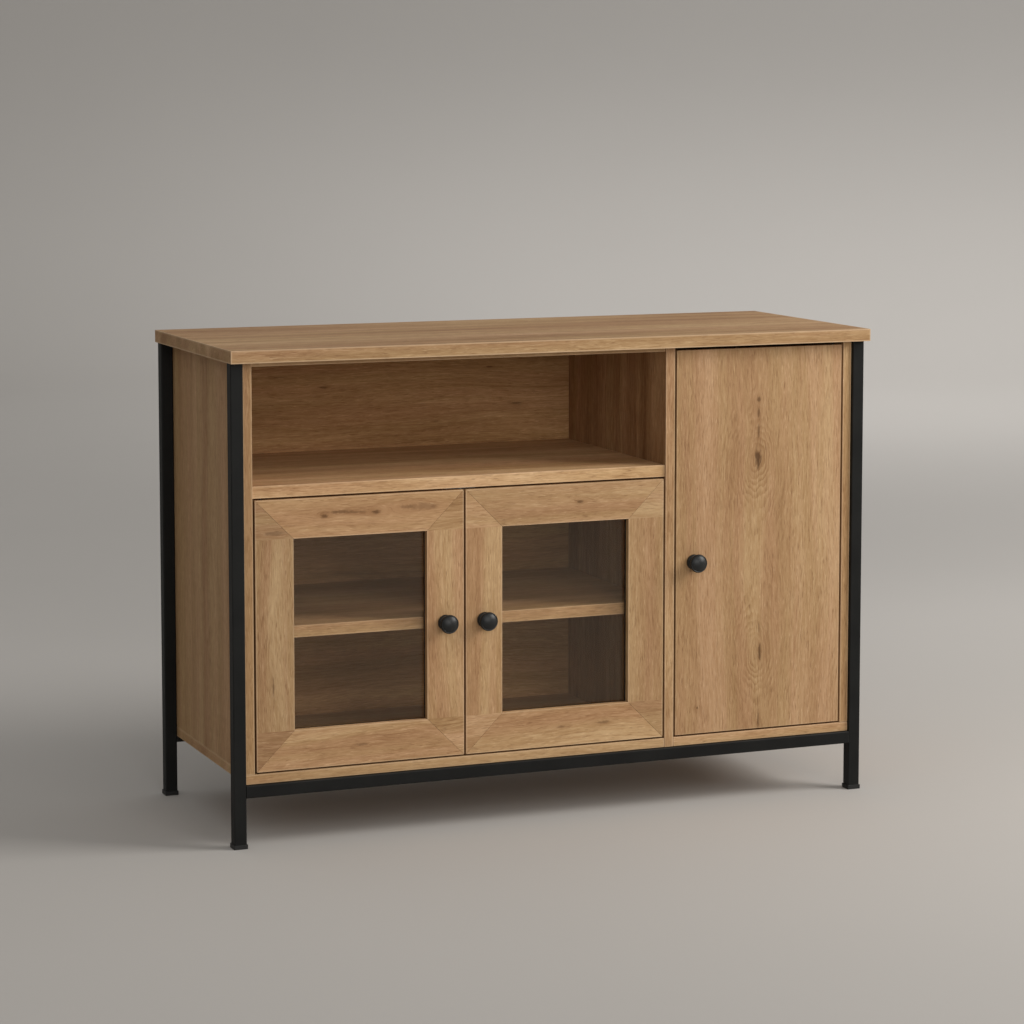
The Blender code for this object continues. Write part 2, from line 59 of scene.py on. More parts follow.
SHARP_ANGLE = math.radians(35)
FLAT_ANGLE = math.radians(0.5)    # faces that differ by less are joined into one
PANE_LIP = 0.0077         # how far a door's frame covers each edge of its pane

# The knob's outline, from the crown of its domed cap, over the rolled rim and down the neck to its
# rose: each arc's centre as (radius, height), its radius, its two ends in degrees, and its steps.
KNOB_HEIGHT = 0.0260
DOME_RADIUS = 0.0205
DOME_END = 52.0
KNOB_ARCS = (
    ((0.0, KNOB_HEIGHT - DOME_RADIUS), DOME_RADIUS, 90, DOME_END, 14),
    ((0.01115, 0.0189), 0.0040, DOME_END, -75, 12),
    ((0.0132, 0.0106), 0.0034, 125, 235, 10),
    ((0.0106, 0.0035), 0.0020, 80, 0, 6),
)
ROSE_RADIUS = 0.0126
KNOB_FOOT = 0.0004        # height of the rose's underside over the door
KNOB_STEPS = 64
CAD_KNOB_GAP = 0.0003     # between the CAD knob's back and the door

SCREW_STEPS = 24
SCREW_HEAD = 0.0034       # radius
SCREW_HEAD_HEIGHT = 0.0014
SCREW_ROUND = 0.0010      # rounding of the head's rim
SCREW_SOCKET = 0.0014     # radius to the hexagon socket's corners
SCREW_SOCKET_FLOOR = 0.0004
SCREW_LIFT = 0.0001       # between a head and what it holds
BACK_SCREW_PITCH = 0.18   # greatest distance between the screws of a back panel
RAIL_SCREW_PITCH = 0.32
RAIL_SCREW_INSET = 0.06   # from a rail's ends to its first and last screws

CAMERA_PLACE = (-1.8918, -4.6256, 1.1867)
CAMERA_YAW = math.radians(22.204)
CAMERA_PITCH = math.radians(5.82)
CAMERA_LENS = 107.0
CAMERA_SHIFT = -0.12      # raises the object in the picture by this share of its width

# Boards: which way the grain runs, then across the face, then through the thickness; how light the
# board is; and how strong its bands and streaks are.
BOARDS = {
    "top_panel": ("XYZ", 0.89, 1.6),
    "left_side_panel": ("ZYX", 0.94, 1.1),
    "right_side_panel": ("ZYX", 1.00, 1.5),
    "divider_panel": ("ZYX", 0.91, 2.2),
    "left_bottom_panel": ("XYZ", 0.98, 1.2),
    "right_bottom_panel": ("XYZ", 1.00, 1.2),
    # Lighter tone: painted light on this shelf in the shaded open compartment.
    "compartment_shelf": ("XYZ", 1.12, 1.6),
    "compartment_top_rail": ("XYZ", 0.90, 1.2),
    # Lighter tone: painted light on this shelf in the shade behind the glass doors.
    "cabinet_shelf": ("XYZ", 1.08, 1.4),
    "cupboard_shelf": ("XYZ", 0.98, 1.2),
    "left_back_panel": ("XZY", 0.97, 1.6),
    "right_back_panel": ("XZY", 1.00, 1.5),
    "left_door_hinge_stile": ("ZXY", 0.84, 1.6),
    "left_door_knob_stile": ("ZXY", 0.99, 1.4),
    "left_door_top_rail": ("XZY", 1.05, 1.1),
    "left_door_bottom_rail": ("XZY", 1.01, 1.3),
    "right_door_hinge_stile": ("ZXY", 0.87, 1.1),
    "right_door_knob_stile": ("ZXY", 0.98, 1.1),
    "right_door_top_rail": ("XZY", 0.92, 1.2),
    "right_door_bottom_rail": ("XZY", 1.00, 1.3),
    "tall_door_panel": ("ZXY", 0.89, 1.0),
}

# How far the foil is lighter along the edges, as wear and as a painted highlight on the arris, on the
# boards that differ from the rest.
EDGE_WEAR_AND_HIGHLIGHT = {"top_panel": 0.55, "tall_door_panel": 0.15}
USUAL_EDGE_WEAR_AND_HIGHLIGHT = 0.30

# Knots on the fronts: x, z, half length along the grain, half width across it, darkness.
KNOTS = {
    "tall_door_panel": (
        (0.3550, 0.5680, 0.0150, 0.0050, 0.85),
        (0.3560, 0.6150, 0.0130, 0.0022, 0.55),
        (0.3555, 0.6450, 0.0100, 0.0022, 0.60),
        (0.3555, 0.6640, 0.0045, 0.0032, 0.60),
        (0.3605, 0.2450, 0.0140, 0.0026, 0.70),
        (0.3590, 0.2850, 0.0120, 0.0020, 0.30),
        (0.3590, 0.1330, 0.0160, 0.0022, 0.45),
        (0.2470, 0.1600, 0.0020, 0.0020, 0.60),
    ),
    "left_door_top_rail": (
        (-0.3950, 0.5125, 0.0070, 0.0032, 0.75),
        (-0.3700, 0.5180, 0.0260, 0.0026, 0.60),
        (-0.3400, 0.5160, 0.0200, 0.0020, 0.45),
        (-0.3100, 0.5142, 0.0090, 0.0032, 0.75),
        (-0.2300, 0.5190, 0.0260, 0.0060, 0.35),
        (-0.2600, 0.5200, 0.0120, 0.0030, 0.35),
    ),
    "left_door_hinge_stile": (
        (-0.4758, 0.4900, 0.0180, 0.0040, 0.40),
        (-0.4800, 0.2480, 0.0140, 0.0016, 0.55),
    ),
    "left_door_bottom_rail": (
        (-0.3368, 0.1480, 0.0120, 0.0028, 0.40),
    ),
    "right_door_top_rail": (
        (0.0360, 0.5123, 0.0060, 0.0026, 0.60),
    ),
    "right_door_knob_stile": (
        (-0.1369, 0.1245, 0.0100, 0.0040, 0.70),
    ),
    "right_door_bottom_rail": (
        (0.0782, 0.1500, 0.0120, 0.0026, 0.50),
        (0.0050, 0.1480, 0.0090, 0.0022, 0.35),
    ),
    "left_bottom_panel": (
        (0.0430, 0.1075, 0.0080, 0.0016, 0.55),
    ),
    "left_back_panel": (
        (-0.2600, 0.6700, 0.0080, 0.0018, 0.50),
        (0.0400, 0.6950, 0.0060, 0.0016, 0.50),
        (0.0900, 0.6300, 0.0130, 0.0020, 0.55),
        (-0.0600, 0.6050, 0.0070, 0.0016, 0.40),
        (-0.3400, 0.6900, 0.0160, 0.0014, 0.40),
    ),
}

# The tall door is cut through the heart of the log: its grain rings close round these heights.
HEART_HEIGHTS = (0.568, 0.245)
HEART_EYE = (0.050, 0.034)        # half length of the eye at a heart, and how near the heart comes
HEART_SLOPE = 0.10                # how fast the heart sinks away along the grain
HEART_BLEND = 0.012
HEART_REACH = (0.080, 0.026)      # how far along and across a heart its rings are darker
HEART_SHADE = (0.03, 0.13, -0.03, 0.10)    # two radii, and how much lighter the wood is at each

# Marks in the oak: how long and how wide they are, and their noise's detail and roughness.
OAK_MARKS = {
    "drift": (0.55, 0.16, 2.0, 0.5),
    "wobble": (0.045, 0.014, 3.0, 0.6),
    "patch": (0.07, 0.022, 2.0, 0.5),
    "band": (0.75, 0.045, 2.0, 0.5),
    "streak": (0.10, 0.0060, 3.0, 0.6),
    "fibre": (0.032, 0.0018, 4.0, 0.7),
    "fleck": (0.022, 0.0032, 2.0, 0.5),
    "glint": (0.014, 0.0016, 2.0, 0.5),
    "pore": (0.016, 0.0011, 1.0, 0.5),
    "hue": (0.60, 0.030, 2.0, 0.5),
    "ragged": (0.014, 0.0014, 3.0, 0.7),
}
MIDDLE_TONE = 0.54        # where a plain board lies on OAK_STOPS
BAND_WEIGHT = 0.75
STREAK_WEIGHT = 0.32
FIBRE_WEIGHT = 0.33
FLECK_WEIGHT = 0.30
GLINT_WEIGHT = 0.24
RING_WEIGHT = 0.09
HEART_RING_WEIGHT = 0.26
GLINT_STEP = (0.58, 0.74)         # noise values over which a glint, a pore or a hue sets in
PORE_STEP = (0.57, 0.70)
HUE_STEP = (0.35, 0.65)
PORE_SHARE = (0.30, 0.32)         # how dark pores are: more for those in a ring, and for all
RING_PITCH = 0.0062
RING_WOBBLE = 2.6                 # in rings
RING_RISE = (0.15, 0.85)          # the stretch of a ring in which it darkens
RING_FALL = (0.90, 1.00)          # the stretch in which it ends
PATCH_FADE = (0.38, 0.62, 0.25, 1.0)       # two noise values, and how strong the rings are at each
LOG_SLOPES = (0.02, 0.06)         # how a board without a heart lies to its log: least and most
LOG_DEPTHS = (0.02, 0.07)
LOG_SPREAD = 0.8                  # how far from a board's middle its log may be, in half widths
DRIFT_REACH = 0.05                # how far the grain wanders sideways
KNOT_PULL = 0.62                  # how strongly the grain is drawn in at a knot
KNOT_REACH = (2.4, 3.2)           # how far the grain bends, in knot lengths and widths
KNOT_RIM = (2.0, 2.6)
KNOT_CORE = (1.3, 1.3)
KNOT_RAGGED = (1.6, -0.8)
KNOT_TEAR = (0.35, 0.95)          # how near the middle the ragged core starts, and where it is full
KNOT_EDGE = (0.05, 0.35)
RIM_DARKNESS = 0.50
WORN_AND_HIGHLIGHT_BAND = (0.0026, 0.0008)      # from an edge: where the wear and painted highlight start, and where they are full
# Lighter band along steel edges, partly rub and partly painted highlight: where it starts, and where it
# is full.
STEEL_RUB_AND_HIGHLIGHT_BAND = (0.0014, 0.0004)

# Oak colours from its darkest streaks to its lightest, and of knots.
OAK_STOPS = (
    (0.00, (0.228, 0.114, 0.046)),
    (0.30, (0.356, 0.200, 0.092)),
    (0.55, (0.458, 0.276, 0.138)),
    (1.00, (0.660, 0.445, 0.255)),
)
PINKISH = (1.015, 0.986, 1.005, 1.0)
YELLOWISH = (0.990, 1.014, 0.970, 1.0)
PORE_COLOUR = (0.190, 0.090, 0.038)
# The lighter colour of the edges: foil wear, and a painted highlight on the arris.
WORN_AND_HIGHLIGHT_COLOUR = (0.720, 0.520, 0.330)
KNOT_COLOUR = (0.090, 0.041, 0.016)
KNOT_RIM_COLOUR = (0.250, 0.120, 0.046)
BACK_TINT = (1.0, 0.930, 0.800, 1.0)    # the back panels' foil is a little redder
FIBREBOARD_COLOUR = (0.300, 0.205, 0.125)
FIBREBOARD_SHADE = 0.72

# Other colours. Pairs are where a faint clouding is darkest and lightest.
POWDER_TINTS = ((0.0048, 0.0050, 0.0046), (0.0078, 0.0080, 0.0072))
# Lighter colour of steel edges, partly rub and partly painted highlight.
POWDER_RUB_AND_HIGHLIGHT_COLOUR = (0.045, 0.044, 0.041)
PAINT_TINTS = ((0.0045, 0.0054, 0.0054), (0.0075, 0.0086, 0.0084))
ZINC_TINTS = ((0.48, 0.48, 0.46), (0.66, 0.66, 0.64))
GLASS_TINTS = ((0.970, 0.965, 0.950), (0.990, 0.985, 0.970))
GLASS_GLOSS = (1.0, 0.93, 0.80)
GLASS_MIRRORS = 0.026     # share of light that each face of a pane throws back, seen square on
CAP_COLOUR = (0.0105, 0.0105, 0.0100)
GASKET_COLOUR = (0.0150, 0.0150, 0.0145)
CATCH_COLOUR = (0.70, 0.69, 0.65)
BLACKENED_COLOUR = (0.0120, 0.0118, 0.0110)

# ---------------------------------------------------------------- studio values
# A round floor that sweeps up into a wall, and the colour of its zones, which paints light and shade on
# it: darker at the front, lighter far off and most to the right, and darker again up the wall.
FLOOR_RADIUS = 7.0
SWEEP_RADIUS = 3.0
WALL_TOP = 5.0
FLOOR_STEPS = 96
PAINTED_LIGHT_FLOOR_TINTS = {
    "front": ((0.395, 0.379, 0.358), (0.411, 0.395, 0.373)),
    "middle": ((0.474, 0.456, 0.430), (0.493, 0.473, 0.447)),
    "far_left": ((0.570, 0.550, 0.523), (0.590, 0.569, 0.541)),
    "far_right": ((0.705, 0.680, 0.648), (0.728, 0.702, 0.669)),
    "wall": ((0.496, 0.478, 0.455), (0.514, 0.496, 0.472)),
}
FRONT_TO_MIDDLE = (-1.9, -0.3)    # in Y
MIDDLE_TO_FAR = (0.0, 1.5)        # in Y
LEFT_TO_RIGHT = (0.2, 3.4)        # in X
FLOOR_TO_WALL = (0.1, 1.6)        # in Z

# Lamps: azimuth (0 in front, 90 to the right), elevation, distance, size, watts, colour and target.
LAMPS = {
    "key": (60, 30, 3.6, (1.7, 1.7), 95, (1.0, 0.965, 0.93), (0, 0, 0.40)),
    "front_fill": (-6, 17, 4.5, (3.2, 2.2), 64, (1.0, 0.985, 0.97), (0, 0, 0.40)),
    "backdrop_wash": (-20, 45, 4.4, (3.0, 1.5), 62, (1.0, 0.985, 0.97), (4.9, 7.3, 0.4)),
}
AIR_COLOUR = (1.0, 0.985, 0.965, 1.0)
AIR_STRENGTH = 0.42


# ---------------------------------------------------------------- node trees
class Finish:
    """A material with a Principled shader, and short calls that add nodes to its tree."""

    def __init__(self, name, **sockets):
        self.material = bpy.data.materials.new(name)
        self.material.use_nodes = True
        self.tree = self.material.node_tree
        self.tree.nodes.clear()
        self.shader = self.add("ShaderNodeBsdfPrincipled", sockets)
        self.output = self.add("ShaderNodeOutputMaterial", {"Surface": self.shader.outputs[0]})

    def add(self, kind, sockets=None, **settings):
        node = self.tree.nodes.new(kind)
        for setting, value in settings.items():
            setattr(node, setting, value)
        for socket, value in (sockets or {}).items():
            self.feed(node.inputs[socket], value)
        return node

    def feed(self, socket, value):
        if isinstance(value, bpy.types.NodeSocket):
            self.tree.links.new(value, socket)
        else:
            socket.default_value = value

    def drive(self, socket, value):
        self.feed(self.shader.inputs[socket], value)

    def maths(self, operation, *values):
        return self.add("ShaderNodeMath", dict(enumerate(values)), operation=operation).outputs[0]

    def scaled(self, value, factor, offset=0.0):
        """value times factor, plus offset."""
        return self.maths("MULTIPLY_ADD", value, factor, offset)

    def centred(self, noise):
        """A noise's value moved to lie about 0."""
        return self.scaled(noise, 1.0, -0.5)

    def vector(self, x, y, z):
        return self.add("ShaderNodeCombineXYZ", {0: x, 1: y, 2: z}).outputs[0]

    def place(self):
        return self.add("ShaderNodeTexCoord").outputs["Object"]

    def split(self, vector):
        return self.add("ShaderNodeSeparateXYZ", {0: vector}).outputs

    def from_middle(self, low, high):
        """A point's place along X, Y and Z, measured from the middle of a box."""
        sockets = {0: self.place(), 1: (low + high) / 2}
        return self.split(self.add("ShaderNodeVectorMath", sockets, operation="SUBTRACT").outputs[0])

    def stretch(self, scale):
        """A point's place, multiplied by its own number along X, Y and Z."""
        return self.add("ShaderNodeMapping", {"Vector": self.place(), "Scale": scale}).outputs[0]

    def noise(self, place, scale=1.0, detail=2.0, roughness=0.5):
        sockets = {"Vector": place, "Scale": scale, "Detail": detail, "Roughness": roughness}
        return self.add("ShaderNodeTexNoise", sockets).outputs[0]

    def ease(self, value, start, end, at_start=0.0, at_end=1.0):
        """A smooth change from at_start to at_end as value goes from start to end."""
        sockets = {0: value, 1: start, 2: end, 3: at_start, 4: at_end}
        return self.add("ShaderNodeMapRange", sockets, interpolation_type="SMOOTHSTEP").outputs[0]

    def mix(self, amount, first, second, blend_type="MIX"):
        sockets = {0: amount, 6: first, 7: second}
        return self.add("ShaderNodeMix", sockets, data_type="RGBA", blend_type=blend_type,
                        clamp_factor=True).outputs[2]

    def clouded(self, amount, tints):
        return self.mix(amount, rgba(tints[0]), rgba(tints[1]))

    def multiply(self, first, second):
        return self.mix(1.0, first, second, "MULTIPLY")

    def ramp(self, value, stops):
        node = self.add("ShaderNodeValToRGB", {0: value})
        elements = node.color_ramp.elements
        while len(elements) < len(stops):
            elements.new(0.5)
        for element, (position, colour) in zip(elements, stops):
            element.position = position
            element.color = rgba(colour)
        return node.outputs[0]

    def bump(self, height, strength, distance):
        sockets = {"Height": height, "Strength": strength, "Distance": distance}
        self.drive("Normal", self.add("ShaderNodeBump", sockets).outputs[0])


def rgba(colour, tone=1.0):
    return (colour[0] * tone, colour[1] * tone, colour[2] * tone, 1.0)


def edge_distance(finish, parts, half):
    """How far a point on a box is from the box's nearest edge: the middle one of three distances."""
    gaps = []
    for part, size in zip(parts, half):
        gaps.append(finish.maths("SUBTRACT", size, finish.maths("ABSOLUTE", part)))
    lower = finish.maths("MINIMUM", gaps[0], gaps[1])
    upper = finish.maths("MAXIMUM", gaps[0], gaps[1])
    return finish.maths("MAXIMUM", lower, finish.maths("MINIMUM", upper, gaps[2]))


def nearness(finish, along, across, knot):
    """1 at a knot's middle, falling smoothly to 0 around it, in an oval stretched along the grain."""
    knot_along, knot_across, length, width = knot
    u = finish.scaled(along, 1 / length, -knot_along / length)
    v = finish.scaled(across, 1 / width, -knot_across / width)
    square = finish.maths("MULTIPLY_ADD", u, u, finish.maths("MULTIPLY", v, v))
    return finish.maths("EXPONENT", finish.maths("MULTIPLY", square, -1.0))


# ---------------------------------------------------------------- oak
def spread(knot, factors):
    """A knot's place, with its length and width made larger."""
    return knot[0], knot[1], knot[2] * factors[0], knot[3] * factors[1]


def turn_ends(finish, along, across, crossed):
    """Swaps along and across outside the stretch crossed, so that the grain turns there."""
    outside = finish.maths(
        "ADD",
        finish.maths("LESS_THAN", along, crossed[0]),
        finish.maths("GREATER_THAN", along, crossed[1]))
    swap = finish.maths("MULTIPLY", outside, finish.maths("SUBTRACT", across, along))
    return finish.maths("ADD", along, swap), finish.maths("SUBTRACT", across, swap)


def marks(finish, kind, place, shift):
    """Noise with the marks that OAK_MARKS describes. place is (along, across, through)."""
    length, width, detail, roughness = OAK_MARKS[kind]
    parts = [finish.scaled(part, 1 / size, offset)
             for part, size, offset in zip(place, (length, width, width), shift)]
    return finish.noise(finish.vector(*parts), 1.0, detail, roughness)


def bend_grain(finish, along, across, drift, knots):
    """The distance across the grain, wandering a little and drawn in round each knot."""
    bent = finish.maths("MULTIPLY_ADD", finish.centred(drift), DRIFT_REACH, across)
    for knot in knots:
        reach = nearness(finish, along, across, spread(knot, KNOT_REACH))
        pull = finish.scaled(across, -KNOT_PULL, KNOT_PULL * knot[1])
        bent = finish.maths("ADD", bent, finish.maths("MULTIPLY", reach, pull))
    return bent


def ring_radius(finish, along, bent, hearts, half_width, draw):
    """How far a point is from the middle of the log, which comes near the face at each heart."""
    if hearts:
        eye_length, eye_depth = HEART_EYE
        depth = None
        for heart in hearts:
            eye = nearness(finish, along, 0.0, (heart, 0.0, eye_length, 1.0))
            cone = finish.maths("ABSOLUTE", finish.scaled(along, HEART_SLOPE, -HEART_SLOPE * heart))
            cone = finish.maths("MULTIPLY_ADD", eye, -eye_depth, finish.scaled(cone, 1.0, eye_depth))
            depth = cone if depth is None else finish.maths("SMOOTH_MIN", depth, cone, HEART_BLEND)
        ring_centre = 0.0
    else:
        depth = finish.scaled(along, draw.uniform(*LOG_SLOPES), draw.uniform(*LOG_DEPTHS))
        ring_centre = draw.uniform(-LOG_SPREAD, LOG_SPREAD) * half_width
    sideways = finish.maths("SUBTRACT", bent, ring_centre)
    square = finish.maths("MULTIPLY_ADD", sideways, sideways, finish.maths("MULTIPLY", depth, depth))
    return finish.maths("SQRT", square)


def growth_rings(finish, radius, wobble, patch):
    """Rings that each darken slowly and end at once, and fade in and out in patches."""
    off_line = finish.maths("MULTIPLY", wobble, RING_WOBBLE)
    phase = finish.maths("FRACT", finish.maths("MULTIPLY_ADD", radius, 1 / RING_PITCH, off_line))
    ring = finish.maths(
        "MULTIPLY", finish.ease(phase, *RING_RISE), finish.ease(phase, *RING_FALL, 1.0, 0.0))
    return finish.maths("MULTIPLY", ring, finish.ease(patch, *PATCH_FADE))


def paint_knots(finish, colour, along, across, ragged, knots, tone):
    """Adds each knot: a brown rim round a dark core with a ragged outline."""
    for knot in knots:
        darkness = knot[4]
        rim = nearness(finish, along, across, spread(knot, KNOT_RIM))
        core = nearness(finish, along, across, spread(knot, KNOT_CORE))
        torn = finish.ease(finish.maths("ADD", core, ragged), *KNOT_TEAR)
        core = finish.maths("MULTIPLY", torn, finish.ease(core, *KNOT_EDGE, 0.0, darkness))
        rim = finish.maths("MULTIPLY", rim, RIM_DARKNESS * darkness)
        colour = finish.mix(rim, colour, rgba(KNOT_RIM_COLOUR, tone))
        colour = finish.mix(core, colour, rgba(KNOT_COLOUR, tone))
    return colour


def oak(name, axes, strengths, seed, low, high, knots=(), hearts=(), crossed=None):
    """Oak foil for one board. axes names the grain, face and thickness directions, in that order.

    strengths are the tone, how strong the bands and streaks are, and how light the edges are, as wear
    and as a painted highlight.
    knots are (along, across, length, width, darkness) from the board's middle. hearts are places
    along the grain that the rings close round. crossed is the stretch outside which the grain
    turns to run across, as on the foil of a mitred stile's two ends.
    """
    tone, figure, wear_and_highlight = strengths
    draw = random.Random(seed)
    order = ["XYZ".index(axis) for axis in axes]
    half = [(high - low)[i] / 2 for i in order]
    finish = Finish(name, **{"Specular IOR Level": 0.20, "IOR": 1.45})
    parts = finish.from_middle(low, high)
    along, across, through = (parts[i] for i in order)
    edge = edge_distance(finish, (along, across, through), half)
    if crossed:
        along, across = turn_ends(finish, along, across, crossed)

    shift = [draw.uniform(-9, 9) for _ in range(3)]
    drift = marks(finish, "drift", (along, across, through), shift)
    bent = bend_grain(finish, along, across, drift, knots)

    def marked(kind):
        return marks(finish, kind, (along, bent, through), shift)

    radius = ring_radius(finish, along, bent, hearts, half[1], draw)
    ring = growth_rings(finish, radius, marked("wobble"), marked("patch"))
    streak = marked("streak")
    fibre = marked("fibre")
    glint = finish.ease(marked("glint"), *GLINT_STEP)
    pore = finish.ease(marked("pore"), *PORE_STEP)

    value = finish.scaled(marked("band"), BAND_WEIGHT * figure, MIDDLE_TONE - BAND_WEIGHT * figure / 2)
    for mark, weight in (
            (streak, STREAK_WEIGHT * figure),
            (fibre, FIBRE_WEIGHT + FIBRE_WEIGHT * figure),
            (marked("fleck"), FLECK_WEIGHT)):
        value = finish.maths("MULTIPLY_ADD", finish.centred(mark), weight, value)
    value = finish.maths("MULTIPLY_ADD", glint, GLINT_WEIGHT, value)
    if hearts:
        value = finish.maths("ADD", value, finish.ease(radius, *HEART_SHADE))
    ring_weight = RING_WEIGHT
    for heart in hearts:
        at_heart = nearness(finish, along, across, (heart, 0.0, *HEART_REACH))
        ring_weight = finish.maths("MULTIPLY_ADD", at_heart, HEART_RING_WEIGHT, ring_weight)
    value = finish.maths("SUBTRACT", value, finish.maths("MULTIPLY", ring, ring_weight))

    colour = finish.ramp(value, [(stop, [part * tone for part in tint]) for stop, tint in OAK_STOPS])
    hue = finish.ease(marked("hue"), *HUE_STEP)
    colour = finish.multiply(colour, finish.mix(hue, PINKISH, YELLOWISH))
    pore_share = finish.maths("MULTIPLY", pore, finish.scaled(ring, *PORE_SHARE))
    colour = finish.mix(pore_share, colour, rgba(PORE_COLOUR, tone))
    if knots:
        ragged = finish.scaled(marked("ragged"), *KNOT_RAGGED)
        colour = paint_knots(finish, colour, along, across, ragged, knots, tone)
    # Lighter along the edges: foil wear, and a painted highlight on the arris.
    worn_and_highlit = finish.ease(edge, *WORN_AND_HIGHLIGHT_BAND, 0.0, wear_and_highlight)
    finish.drive("Base Color", finish.mix(worn_and_highlit, colour, rgba(WORN_AND_HIGHLIGHT_COLOUR, tone)))
    finish.drive("Roughness", finish.scaled(streak, factor=0.22, offset=0.48))
    height = finish.maths("MULTIPLY_ADD", pore, -0.8, finish.maths("ADD", fibre, streak))
    finish.bump(height, strength=0.35, distance=0.00025)
    return finish


def fibreboard_back(finish):
    """Bare fibreboard on the face of a back panel that looks away from the front."""
    normal = finish.add("ShaderNodeTexCoord").outputs["Normal"]
    facing_back = finish.maths("GREATER_THAN", finish.split(normal)[1], 0.5)
    speckle = finish.noise(finish.place(), scale=700.0, detail=3.0, roughness=0.7)
    cloud = finish.noise(finish.place(), scale=9.0, detail=3.0)
    tint = finish.ramp(finish.maths("MULTIPLY_ADD", cloud, 0.5, finish.scaled(speckle, 0.5)), (
        (0.30, [part * FIBREBOARD_SHADE for part in FIBREBOARD_COLOUR]),
        (0.70, FIBREBOARD_COLOUR)))
    foil = finish.multiply(finish.shader.inputs["Base Color"].links[0].from_socket, BACK_TINT)
    finish.drive("Base Color", finish.mix(facing_back, foil, tint))


# ---------------------------------------------------------------- other finishes
def powder_coat(name, low, high):
    """Matt black powder coat on steel: a fine orange peel, and a lighter band along the edges that is
    partly rub and partly a painted highlight.
    """
    finish = Finish(name, **{"Specular IOR Level": 0.20})
    edge = edge_distance(finish, finish.from_middle(low, high), (high - low) / 2)
    peel = finish.noise(finish.place(), scale=900.0)
    cloud = finish.noise(finish.place(), scale=14.0, detail=4.0, roughness=0.6)
    dark = finish.clouded(finish.ease(cloud, 0.3, 0.7), POWDER_TINTS)
    # Edges lighter: partly rub, partly a painted highlight.
    rub_and_highlight = finish.maths(
        "MULTIPLY", finish.ease(edge, *STEEL_RUB_AND_HIGHLIGHT_BAND), finish.ease(cloud, 0.35, 0.75, 0.1, 0.5))
    finish.drive("Base Color", finish.mix(rub_and_highlight, dark, rgba(POWDER_RUB_AND_HIGHLIGHT_COLOUR)))
    finish.drive("Roughness", finish.scaled(cloud, factor=0.20, offset=0.44))
    finish.bump(peel, strength=0.30, distance=0.00020)
    return finish


def moulded(name, colour, roughness):
    """Moulded plastic or rubber with a fine spark-eroded grain and soft clouding."""
    finish = Finish(name, **{"Specular IOR Level": 0.40})
    grain = finish.noise(finish.place(), scale=1400.0)
    cloud = finish.noise(finish.place(), scale=30.0, detail=3.0)
    finish.drive("Base Color", finish.mix(cloud, rgba(colour, 0.8), rgba(colour, 1.2)))
    finish.drive("Roughness", finish.scaled(cloud, factor=0.16, offset=roughness - 0.08))
    finish.bump(grain, strength=0.25, distance=0.00015)
    return finish


def knob_paint():
    """Satin black paint with a soft sheen."""
    finish = Finish("satin_black_paint", **{
        "Specular IOR Level": 0.40, "Coat Weight": 0.10, "Coat Roughness": 0.35})
    cloud = finish.noise(finish.place(), scale=55.0, detail=4.0, roughness=0.6)
    peel = finish.noise(finish.place(), scale=1100.0)
    finish.drive("Base Color", finish.clouded(cloud, PAINT_TINTS))
    finish.drive("Roughness", finish.scaled(cloud, factor=0.16, offset=0.40))
    finish.bump(peel, strength=0.20, distance=0.00012)
    return finish


def zinc_plate():
    """Bright zinc plating with fine scratches."""
    finish = Finish("zinc_plate", **{"Metallic": 1.0})
    cloud = finish.noise(finish.place(), scale=160.0, detail=4.0, roughness=0.6)
    scratches = finish.noise(finish.stretch((60, 60, 2500)))
    finish.drive("Base Color", finish.clouded(cloud, ZINC_TINTS))
    finish.drive("Roughness", finish.scaled(cloud, factor=0.22, offset=0.22))
    finish.bump(scratches, strength=0.20, distance=0.00010)
    return finish


def float_glass():
    """Clear glass that lets lamps through and mirrors more at a glance, with faint wipe marks."""
    finish = Finish("float_glass")
    wipe = finish.noise(finish.stretch((5, 5, 14)), detail=4.0, roughness=0.6)
    clear = finish.add("ShaderNodeBsdfTransparent", {"Color": finish.clouded(wipe, GLASS_TINTS)})
    gloss = finish.add("ShaderNodeBsdfGlossy", {
        "Color": rgba(GLASS_GLOSS), "Roughness": finish.scaled(wipe, factor=0.05, offset=0.02)})
    slant = finish.add("ShaderNodeLayerWeight", {"Blend": 0.5}).outputs["Facing"]
    mirrored = finish.scaled(finish.maths("POWER", slant, 5.0), 1 - GLASS_MIRRORS, GLASS_MIRRORS)
    both = finish.add("ShaderNodeMixShader", {0: mirrored, 1: clear.outputs[0], 2: gloss.outputs[0]})
    finish.feed(finish.output.inputs["Surface"], both.outputs[0])
    finish.tree.nodes.remove(finish.shader)
    return finish


# ---------------------------------------------------------------- meshes
def round_edges(piece, width):
    """Joins the faces that the frame stores apart, and rounds the sharp edges between them."""
    weld = piece.modifiers.new("weld", "WELD")
    weld.merge_threshold = WELD_DISTANCE
    flatten = piece.modifiers.new("flatten", "DECIMATE")
    flatten.decimate_type = "DISSOLVE"
    flatten.angle_limit = FLAT_ANGLE
    bevel = piece.modifiers.new("arris", "BEVEL")
    bevel.width = width
    bevel.segments = ARRIS_STEPS
    bevel.limit_method = "ANGLE"
    bevel.angle_limit = SHARP_ANGLE
    bevel.harden_normals = True


def shade(mesh):
    mesh.shade_smooth()
    mesh.set_sharp_from_angle(angle=SHARP_ANGLE)


def dress(name, finish, arris):
    """Gives a CAD node its finish and, unless arris is None, rounds its edges by that much."""
    piece = nodes[name]
    piece.data.materials.clear()
    piece.data.materials.append(finish.material)
    if "custom_normal" in piece.data.attributes:
        piece.data.attributes.remove(piece.data.attributes["custom_normal"])
    if arris:
        round_edges(piece, arris)


